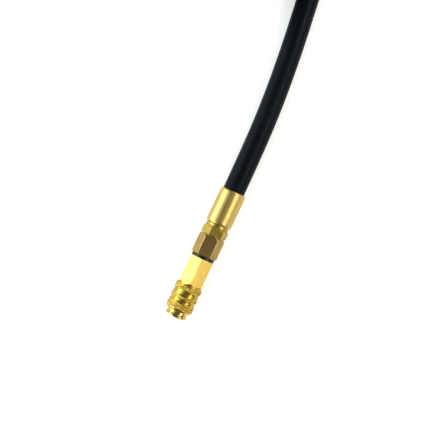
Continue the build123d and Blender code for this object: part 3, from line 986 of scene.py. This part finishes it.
def add_fitting():
    """The coupler's detailed pieces, and the ferrule, stem and nut at both ends of the hose."""
    far = far_matrix()
    ferrule = turned_mesh("ferrule_shell", ferrule_outline(), even_angles(384))
    stem = turned_mesh("stem", stem_outline(), hexagon_angles(STEM_CORNER))
    nut = turned_mesh("nut", nut_outline(), hexagon_angles(NUT_CORNER))
    hexagon = turned_mesh("body_hexagon", body_outline(), hexagon_angles(BODY_CORNER))
    washer = turned_mesh("seal_washer", seal_ring_outline(), even_angles(192))
    front = turned_mesh("front_turned", front_outline(), even_angles(256))
    sleeve = turned_mesh("sleeve_knurled", sleeve_outline(), even_angles(KNURLS * KNURL_STEPS))
    pieces = [
        ("crimp_shell", ferrule, None, "crimp_ferrule", "ferrule_brass", "hose_side"),
        ("far_crimp_shell", ferrule, far, "far_ferrule", "ferrule_brass", "hose_side"),
        ("stem_turned", stem, None, "hose_stem", "stem_brass", "hose_side"),
        ("far_stem_turned", stem, far, "far_stem", "stem_brass", "hose_side"),
        ("nut_hexagon", nut, None, "swivel_nut", "nut_brass", "coupling"),
        ("far_nut_hexagon", nut, far, "far_nut", "nut_brass", "far_nut"),
        ("body_hexagon", hexagon, None, "coupler_body", "body_brass", "coupling"),
        ("seal_washer", washer, None, "seal_ring", "seal_rubber", "coupling"),
        ("front_turned", front, None, "front_body", "front_brass", "coupling"),
        ("sleeve_knurled", sleeve, None, "sleeve", "sleeve_brass", "sleeve"),
    ]
    made = {}
    for name, mesh, matrix, node, slot, body in pieces:
        piece = place_piece(name, mesh, matrix)
        if node == "front_body":
            drill_ball_holes(piece)
        dress(piece, slot, body)
        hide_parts(node)
        made[name] = piece
    return made


# Each spring: pitch radius, wire radius, its ends along the axis, its turns, and a joint with
# how far that joint travels.
SPRINGS = {
    "sleeve_spring": (6.47, 0.38, 12.05, 17.55, 4, "sleeve_pull", 1.3),
    "valve_spring": (3.2, 0.35, 18.65, 25.95, 5, "valve_push", 3.5),
}
SPRING_STEPS = 72
WIRE_STEPS = 20
# How much closer than its mean a spring's pitch is at its ends and in the middle, as a share
SPRING_CLOSING = 0.35


def spring_mesh(name, pitch_r, wire_r, y_start, y_end, turns):
    """A coiled wire with flat caps, wound closer at its two ends and in the middle."""
    steps = turns * SPRING_STEPS
    spots = []
    for i in range(steps + 1):
        t = i / steps
        angle = 2 * pi * turns * t
        climb = t - sin(4 * pi * t) / (4 * pi) * SPRING_CLOSING
        y = y_start + wire_r + (y_end - y_start - 2 * wire_r) * climb
        for k in range(WIRE_STEPS):
            spin = 2 * pi * k / WIRE_STEPS
            radius = (pitch_r + wire_r * cos(spin)) * MM
            spots.append((radius * cos(angle), (y + wire_r * sin(spin)) * MM, radius * sin(angle)))
    faces = []
    for i in range(steps):
        for k in range(WIRE_STEPS):
            a, b = i * WIRE_STEPS + k, i * WIRE_STEPS + (k + 1) % WIRE_STEPS
            faces.append((a, b, b + WIRE_STEPS, a + WIRE_STEPS))
    faces.append(tuple(range(WIRE_STEPS - 1, -1, -1)))
    faces.append(tuple(steps * WIRE_STEPS + k for k in range(WIRE_STEPS)))
    mesh = bpy.data.meshes.new(name)
    mesh.from_pydata(spots, [], faces)
    face_outwards(mesh)
    finish_mesh(mesh)
    return mesh


def add_springs():
    """Each spring's coiled wire, put on the coupling in place of its CAD node."""
    for node, (pitch_r, wire_r, y_start, y_end, turns, joint, travel) in SPRINGS.items():
        name = node + "_wire"
        spring = place_piece(name, spring_mesh(name, pitch_r, wire_r, y_start, y_end, turns))
        dress(spring, "spring_steel", "coupling")
        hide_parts(node)
        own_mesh(spring)


# The materials of the CAD nodes that no detailed piece replaces
NODE_SLOTS = {
    "snap_ring": "spring_steel",
    "nut_wire": "spring_steel",
    "far_nut_wire": "spring_steel",
    "valve_poppet": "stem_brass",
    "stem_o_ring": "seal_rubber",
    "far_o_ring": "seal_rubber",
    "body_o_ring": "seal_rubber",
    "plug_seal": "seal_rubber",
    "poppet_o_ring": "seal_rubber",
}
NODE_SLOTS |= {f"locking_ball_{number}": "ball_steel" for number in range(1, BALLS + 1)}


def dress_inside_nodes():
    """Gives the CAD nodes that are still seen their materials."""
    for name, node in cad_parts.items():
        if node.hide_render:
            continue
        node.data.materials.clear()
        node.data.materials.append(MATERIALS[NODE_SLOTS[name]])


# ---------------------------------------------------------------- hose

HOSE_START = 62.5
COIL_CENTRE = (-80.9, 259.9)
LAYERS_Z = tuple(0.05 + HOSE_D * layer for layer in range(3))
# The height of the far fitting's axis, which lies on the coil's top layer
FAR_Z = 42.033
# The centre line from the ferrule to the coil
HOSE_ROUTE = [
    (0.0, HOSE_START, 0.0),
    (0.0, 100.0, 0.0),
    (-1.1, 138.0, -1.0),
    (-4.65, 176.0, -1.35),
    (-9.8, 214.0, -1.2),
    (-11.7, 236.0, -0.6),
    (-8.85, 257.4, LAYERS_Z[0]),
]
# The last stretch, which lies on the coil: angle round its centre, radius and height
TAIL_ROUTE = [
    (242.4, 58.8, LAYERS_Z[2]),
    (274.9, 59.6, 27.6),
    (308.2, 61.6, 32.0),
    (340.4, 64.0, 38.2),
    (371.3, 66.7, 40.6),
    (401.1, 68.8, 40.7),
    (430.2, 69.8, 40.9),
    (459.2, 69.5, 41.1),
    (488.6, 67.9, 41.3),
    (518.8, 65.5, 41.6),
    (550.3, 62.8, 41.9),
    (583.1, 60.7, FAR_Z),
    (615.9, 59.6, FAR_Z),
]
# The coil's angles are in degrees from COIL_JOIN, where the route meets it. It starts in its
# outer column. Each step says where it starts, and a column step also says in or out (-1, 1).
COIL_JOIN = -2
COIL_STEP = 20
COIL_END = 1675
COIL_START_R = 5.3 * HOSE_D
COLUMN_STEPS = ((235, -1), (850, 1), (1425, -1))
COLUMN_STEP_RUN = 110
LAYER_STEPS = (565, 1140)
LAYER_STEP_RUN = 100


def coil_spot(angle, radius, height):
    """A place by its angle in degrees round the coil's centre, its radius and its height."""
    turn = radians(angle)
    return (COIL_CENTRE[0] + radius * cos(turn), COIL_CENTRE[1] + radius * sin(turn), height)


def coil_points():
    """Turns that go in and out between two columns, three layers high.

    The spline runs inside its control points, so reach puts them out by what it cuts off."""
    points = []
    reach = 1 / (0.75 + 0.25 * cos(radians(COIL_STEP)))
    angle = COIL_STEP
    while angle < COIL_END:
        radius = COIL_START_R
        for start, side in COLUMN_STEPS:
            radius += side * HOSE_D * smooth_step(angle, start, start + COLUMN_STEP_RUN)
        height = LAYERS_Z[0]
        for start in LAYER_STEPS:
            height += HOSE_D * smooth_step(angle, start, start + LAYER_STEP_RUN)
        points.append(coil_spot(COIL_JOIN + angle, reach * radius, height))
        angle += COIL_STEP
    return points


def add_hose():
    data = bpy.data.curves.new("hose_line", "CURVE")
    data.dimensions = "3D"
    line = data.splines.new("NURBS")
    points = HOSE_ROUTE + coil_points() + [coil_spot(*spot) for spot in TAIL_ROUTE]
    line.points.add(len(points) - 1)
    for point, (x, y, z) in zip(line.points, points):
        point.co = (x * MM, y * MM, z * MM, 1)
    line.order_u = 3
    line.use_endpoint_u = True
    line.use_smooth = True
    data.resolution_u = 10
    data.bevel_depth = HOSE_R * MM
    data.bevel_resolution = 8
    data.use_fill_caps = True
    hose = bpy.data.objects.new("hose_rubber_line", data)
    bpy.context.scene.collection.objects.link(hose)
    dress(hose, "hose_rubber", "hose_side")
    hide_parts("hose", "hose_coil", "hose_tail")
    return hose


# ---------------------------------------------------------------- straps

STRAP_T = 1.0
STRAP_WIDTH = 12.5
STRAP_CORNER = 0.3
STRAP_START_Z = 3
# The gap between a strap and the rubber, and between its end and the turn that it lies on
STRAP_CLEAR = 0.25
LAP_CLEAR = 0.08
# A strap is a run of rings this far apart. Its last LAP_RINGS lie on its first ones, it lifts
# over LIFT_START to LIFT_END rings from where they meet, and its last TIP_RINGS are narrower.
STRAP_STEP = 0.9
LAP_RINGS = 30
LIFT_START = -6
LIFT_END = 2
TIP_RINGS = 6
TIP_WIDTH = 0.65
COLUMNS_R = (COIL_START_R - HOSE_D, COIL_START_R)

# The angle of each strap, with the tail's place at its two edges: radius, height
STRAPS = (
    (35.0, ((66.4, 40.7), (65.4, 40.7))),
    (125.0, ((66.1, 41.25), (65.3, 41.3))),
    (215.0, ((59.0, 42.0), (58.3, 42.0))),
)


def hull(points):
    """The convex outline round the points, anticlockwise."""
    points = sorted(points)
    halves = []
    for run in (points, points[::-1]):
        side = []
        for p in run:
            while len(side) > 1:
                (ax, ay), (bx, by) = side[-2], side[-1]
                if (bx - ax) * (p[1] - ay) - (by - ay) * (p[0] - ax) > 0:
                    break
                side.pop()
            side.append(p)
        halves.append(side[:-1])
    return halves[0] + halves[1]


def spaced(outline, step, start_at):
    """The closed outline as evenly spaced points with their distance along it."""
    ahead = outline[start_at:] + outline[: start_at + 1]
    total = sum(hypot(b[0] - a[0], b[1] - a[1]) for a, b in zip(ahead, ahead[1:]))
    count = round(total / step)
    out = []
    walked = 0.0
    wanted = 0.0
    for a, b in zip(ahead, ahead[1:]):
        run = hypot(b[0] - a[0], b[1] - a[1])
        while wanted <= walked + run + 1e-9 and len(out) < count:
            t = (wanted - walked) / run if run else 0.0
            out.append((a[0] + (b[0] - a[0]) * t, a[1] + (b[1] - a[1]) * t))
            wanted += total / count
        walked += run
    return out, total


def strap_outline(circles):
    """The middle of a strap pulled tight round the turns, each a circle in (radius, height)."""
    ring = []
    grown = HOSE_R + STRAP_CLEAR + STRAP_T / 2
    for x, y in circles:
        for k in range(72):
            ring.append((x + grown * cos(k * pi / 36), y + grown * sin(k * pi / 36)))
    return hull(ring)


def strap_section():
    """A strap's flat section with its corners cut, as (across, depth)."""
    half_w, half_t = STRAP_WIDTH / 2, STRAP_T / 2
    right = [
        (half_w - STRAP_CORNER, -half_t),
        (half_w, STRAP_CORNER - half_t),
        (half_w, half_t - STRAP_CORNER),
        (half_w - STRAP_CORNER, half_t),
    ]
    return right + [(-across, -depth) for across, depth in right]


def tip_width(left):
    """The strap's width as a share, where this many rings are left: its tip is rounded."""
    if left >= TIP_RINGS:
        return 1.0
    share = (TIP_RINGS - left) / (TIP_RINGS + 0.5)
    return sqrt(1 - share**2) * (1 - TIP_WIDTH) + TIP_WIDTH


def strap_mesh(name, angle, circles):
    """A strap once round the turns, its end lying on its start. Its width follows the coil."""
    outline = strap_outline(circles)
    # It starts on the coil's outside, as near STRAP_START_Z as the outline has a point
    outwards = [radius - 0.2 * abs(height - STRAP_START_Z) for radius, height in outline]
    path, total = spaced(outline, STRAP_STEP, outwards.index(max(outwards)))
    count = len(path)
    rings = count + LAP_RINGS
    section = strap_section()
    spots, faces, flats = [], [], []
    for i in range(rings):
        x, z = path[i % count]
        before, after = path[(i - 1) % count], path[(i + 1) % count]
        along = Vector((after[0] - before[0], after[1] - before[1])).normalized()
        outward = Vector((along.y, -along.x))
        lift = (STRAP_T + LAP_CLEAR) * smooth_step(i, count + LIFT_START, count + LIFT_END)
        narrow = tip_width(rings - 1 - i)
        for across, depth in section:
            r = x + outward.x * (lift + depth)
            h = z + outward.y * (lift + depth)
            place = coil_spot(angle + degrees(across * narrow / r), r, h)
            spots.append(tuple(value * MM for value in place))
            flats.append((i * total / count * MM, across * MM))
    size = len(section)
    for i in range(rings - 1):
        for j in range(size):
            a, b = i * size + j, i * size + (j + 1) % size
            faces.append((a, b, b + size, a + size))
    faces.append(tuple(range(size - 1, -1, -1)))
    faces.append(tuple((rings - 1) * size + j for j in range(size)))
    mesh = bpy.data.meshes.new(name)
    mesh.from_pydata(spots, [], faces)
    layer = mesh.uv_layers.new(name="along")
    for loop in mesh.loops:
        layer.data[loop.index].uv = flats[loop.vertex_index]
    face_outwards(mesh)
    finish_mesh(mesh, 50)
    return mesh


def add_straps():
    straps = []
    for index, (angle, tail_spots) in enumerate(STRAPS):
        circles = [(r, z) for r in COLUMNS_R for z in LAYERS_Z] + list(tail_spots)
        name = f"coil_strap_{index + 1}"
        strap = place_piece(name, strap_mesh(name, angle, circles))
        dress(strap, "strap_fabric", "hose_side")
        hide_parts("coil_ties")
        straps.append(strap)
    return straps


# ---------------------------------------------------------------- the whole object

add_camera()
add_light()
add_floor()
fitting = add_fitting()
add_springs()
hose = add_hose()
straps = add_straps()
dress_inside_nodes()
on_hose = straps + [fitting["far_crimp_shell"], fitting["far_stem_turned"], fitting["far_nut_hexagon"]]
on_hose += [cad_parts["far_o_ring"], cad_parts["far_nut_wire"]]
